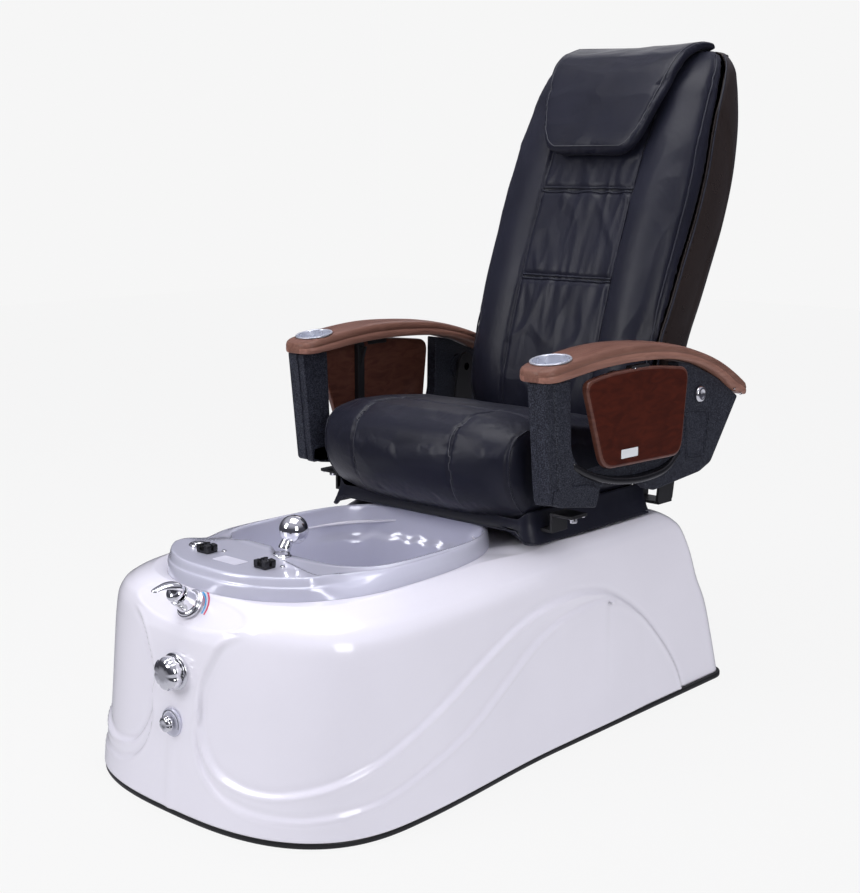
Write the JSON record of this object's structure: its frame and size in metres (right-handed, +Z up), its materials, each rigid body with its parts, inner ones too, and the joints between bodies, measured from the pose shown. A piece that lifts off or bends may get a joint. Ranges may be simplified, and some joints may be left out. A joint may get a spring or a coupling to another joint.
{
  "type": "pedicure spa chair",
  "caption": "Salon pedicure chair: padded reclining seat with lift-up arms and fold-out trays on a moulded base with a jetted foot basin, mixer and hand shower.",
  "frame": {"origin": "on the floor, under the middle of the whole chair's length and width", "axes": "+Z up, the customer faces -Y, +X is the customer's left side"},
  "size_m": [0.752, 1.584, 1.4205],
  "materials": {
    "pearl_white": "pearl gloss",
    "pearl_silver": "pearl metallic gloss",
    "chrome": "polished",
    "leather": "soft grain",
    "back_shell_gloss": "high gloss",
    "textured_black": "speckled texture",
    "arm_brown": "wood-look satin",
    "cup_silver": "satin",
    "mahogany": "lacquered",
    "rubber": "matt",
    "steel_black": "satin",
    "plywood": "bare",
    "black_plastic": "gloss",
    "pvc": "satin"
  },
  "bodies": {
    "base": {"base_shell": "pearl_white", "floor_trim": "rubber", "basin": "pearl_silver", "drain_flange": "chrome", "drain_pipe": "pvc", "jet_motor": "black_plastic", "jet_cover": "pearl_silver", "mixer_valve": "steel_black", "mixer_flange": "chrome", "jet_dial_plate": "pearl_silver", "drain_cable_guide": "black_plastic", "shower_socket": "chrome", "air_button_bezel": "chrome", "footrest_clip_left": "black_plastic", "footrest_clip_right": "black_plastic", "base_frame": "steel_black", "front_foot_left": "rubber", "rear_foot_left": "rubber", "front_foot_right": "rubber", "rear_foot_right": "rubber", "seat_rail_left": "steel_black", "seat_rail_right": "steel_black", "slide_motor": "black_plastic", "control_box": "black_plastic"},
    "drain_stopper": {"drain_stopper": "chrome"},
    "drain_knob": {"drain_knob": "chrome"},
    "jet_knob": {"jet_knob": "chrome"},
    "mixer_body": {"mixer_body": "chrome"},
    "mixer_lever": {"mixer_lever": "chrome"},
    "hand_shower": {"hand_shower": "chrome"},
    "air_button": {"air_button": "chrome"},
    "seat": {"seat_carriage": "steel_black", "seat_pan": "plywood", "seat_cushion": "leather", "seat_skirt": "leather", "recline_actuator": "black_plastic", "arm_support_left": "steel_black", "arm_support_right": "steel_black", "arm_pivot_plate_left": "steel_black", "arm_pivot_plate_right": "steel_black", "arm_pivot_bolt_left": "chrome", "arm_pivot_bolt_right": "chrome"},
    "back": {"back_frame": "steel_black", "back_cushion": "leather", "back_shell": "back_shell_gloss", "head_pillow": "leather"},
    "massage": {"massage_unit": "black_plastic"},
    "arm_left": {"arm_frame_left": "textured_black", "armrest_left": "arm_brown", "cup_holder_left": "cup_silver"},
    "arm_right": {"arm_frame_right": "textured_black", "armrest_right": "arm_brown", "cup_holder_right": "cup_silver"},
    "tray_left": {"tray_left": "mahogany", "tray_bracket_left": "steel_black"},
    "tray_right": {"tray_right": "mahogany", "tray_bracket_right": "steel_black"}
  },
  "joints": [
    {"name": "seat_slide", "type": "slide", "parent": "base", "child": "seat", "axis": [0, -1, 0], "range_m": [0, 0.12]},
    {"name": "back_recline", "type": "hinge", "parent": "seat", "child": "back", "pos_m": [0, 0.342, 0.522], "axis": [-1, 0, 0], "range_deg": [0, 30]},
    {"name": "massage_travel", "type": "slide", "parent": "back", "child": "massage", "axis": [0, 0.347, 0.9379], "range_m": [-0.16, 0.15]},
    {"name": "arm_lift_left", "type": "hinge", "parent": "seat", "child": "arm_left", "pos_m": [0.325, 0.372, 0.67], "axis": [-1, 0, 0], "range_deg": [0, 75]},
    {"name": "arm_lift_right", "type": "hinge", "parent": "seat", "child": "arm_right", "pos_m": [-0.325, 0.372, 0.67], "axis": [-1, 0, 0], "range_deg": [0, 75]},
    {"name": "tray_fold_left", "type": "hinge", "parent": "arm_left", "child": "tray_left", "pos_m": [0.376, 0.118, 0.757], "axis": [0, -1, 0], "range_deg": [0, 90]},
    {"name": "tray_fold_right", "type": "hinge", "parent": "arm_right", "child": "tray_right", "pos_m": [-0.376, 0.118, 0.757], "axis": [0, 1, 0], "range_deg": [0, 90]},
    {"name": "mixer_turn", "type": "hinge", "parent": "base", "child": "mixer_body", "pos_m": [0, -0.7106, 0.375], "axis": [0, -0.7634, 0.6459], "range_deg": [-40, 40]},
    {"name": "mixer_lift", "type": "hinge", "parent": "mixer_body", "child": "mixer_lever", "pos_m": [0, -0.74572, 0.40471], "axis": [-1, 0, 0], "range_deg": [0, 22]},
    {"name": "drain_turn", "type": "hinge", "parent": "base", "child": "drain_knob", "pos_m": [0, -0.756, 0.262], "axis": [0, -1, 0], "range_deg": [0, 90]},
    {"name": "stopper_rise", "type": "slide", "parent": "base", "child": "drain_stopper", "axis": [0, 0, 1], "range_m": [0, 0.009]},
    {"name": "jet_turn", "type": "hinge", "parent": "base", "child": "jet_knob", "pos_m": [0, -0.767, 0.17], "axis": [0, -1, 0], "range_deg": [0, 270]},
    {"name": "air_button_press", "type": "slide", "parent": "base", "child": "air_button", "axis": [0, 0, -1], "range_m": [0, 0.003], "stiffness_N_per_m": 900, "springref_m": -0.002},
    {"name": "shower_pull", "type": "slide", "parent": "base", "child": "hand_shower", "axis": [-0.0937, 0.3372, 0.9368], "range_m": [0, 0.3]}
  ],
  "couplings": [
    {"joint": "stopper_rise", "follows": "drain_turn", "m_per_rad": 0.0055}
  ]
}
